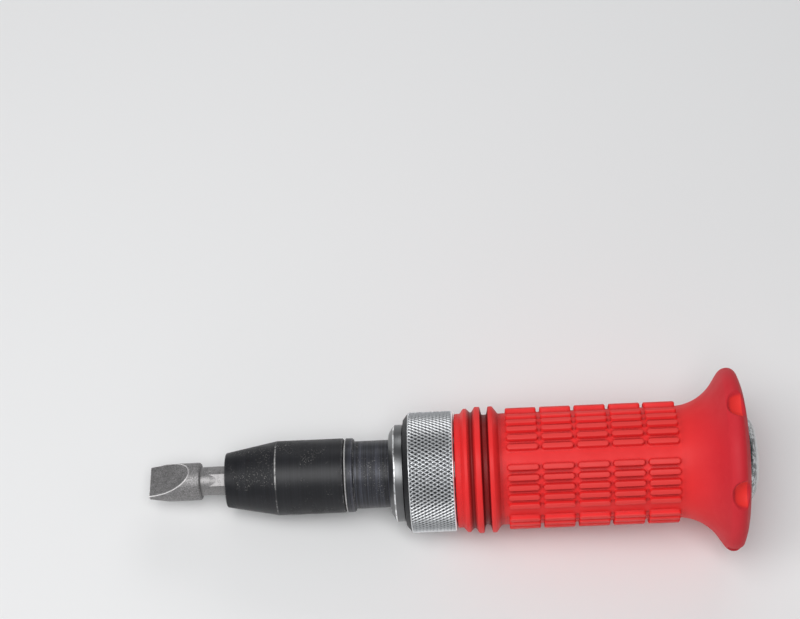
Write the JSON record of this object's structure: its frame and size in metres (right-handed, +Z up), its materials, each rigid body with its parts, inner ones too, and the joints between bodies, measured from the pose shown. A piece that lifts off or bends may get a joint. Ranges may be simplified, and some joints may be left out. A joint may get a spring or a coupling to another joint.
{
  "type": "hand impact driver",
  "caption": "Hand impact driver lying on its side: striking head, ribbed grip with hand guard, knurled direction collar, spring-loaded cam spindle, bit holder and slotted bit.",
  "frame": {"origin": "middle of the footprint, on the surface that the tool lies on", "axes": "+X from the bit towards the striking head, +Z up; the tool lies on its hand guard and its collar, nose down by about 5.6 degrees"},
  "size_m": [0.187, 0.0564, 0.0562],
  "materials": {
    "plated_steel": "bright plated, polished",
    "red_rubber": "matte moulded",
    "knurled_steel": "bright plated diamond knurl",
    "black_steel": "black oxide, turned, worn at the edges",
    "bit_steel": "ground and shot-blasted grey",
    "hard_steel": "hardened and ground",
    "spring_steel": "oiled spring wire",
    "bush_bronze": "sintered bronze",
    "seal_rubber": "nitrile rubber"
  },
  "bodies": {
    "handle": {"striking_body": "plated_steel", "rubber_grip": "red_rubber", "front_cap": "plated_steel", "cap_lock_pin": "hard_steel", "dust_seal": "seal_rubber", "spindle_bush": "bush_bronze", "front_thrust_ring": "hard_steel", "return_spring": "spring_steel", "rear_spring_seat": "hard_steel"},
    "selector": {"knurled_collar": "knurled_steel", "cam_sleeve": "hard_steel", "key_pins": "hard_steel", "collar_drag_ring": "seal_rubber"},
    "plunger": {"thrust_washer": "hard_steel", "thrust_ball": "hard_steel"},
    "spindle": {"drive_spindle": "black_steel", "cam_pin": "hard_steel", "drive_ball_spring": "spring_steel"},
    "detent": {"drive_ball": "hard_steel"},
    "holder": {"bit_holder": "black_steel", "bit_retaining_ring": "spring_steel"},
    "bit": {"slotted_bit": "bit_steel"}
  },
  "joints": [
    {"name": "direction_setting", "type": "hinge", "parent": "handle", "child": "selector", "pos_m": [-0.01887, 0, 0.0178], "axis": [-0.9952, 0, -0.0977], "range_deg": [0, 44]},
    {"name": "blow_stroke", "type": "slide", "parent": "selector", "child": "plunger", "axis": [0.9952, 0, 0.0977], "range_m": [0, 0.008], "stiffness_N_per_m": 10000, "springref_m": -0.006, "deforming": ["return_spring"]},
    {"name": "blow_turn", "type": "hinge", "parent": "plunger", "child": "spindle", "pos_m": [-0.01887, 0, 0.0178], "axis": [0.9952, 0, 0.0977], "range_deg": [0, 20]},
    {"name": "holder_pull", "type": "slide", "parent": "spindle", "child": "holder", "axis": [-0.9952, 0, -0.0977], "range_m": [0, 0.016]},
    {"name": "bit_pull", "type": "slide", "parent": "holder", "child": "bit", "axis": [-0.9952, 0, -0.0977], "range_m": [0, 0.0145]},
    {"name": "drive_ball_press", "type": "slide", "parent": "spindle", "child": "detent", "axis": [0.0977, 0, -0.9952], "range_m": [0, 0.0005], "stiffness_N_per_m": 2000, "springref_m": -0.0005, "deforming": ["drive_ball_spring"]}
  ],
  "couplings": [
    {"joint": "blow_turn", "follows": "blow_stroke", "rad_per_m": 43.633}
  ]
}
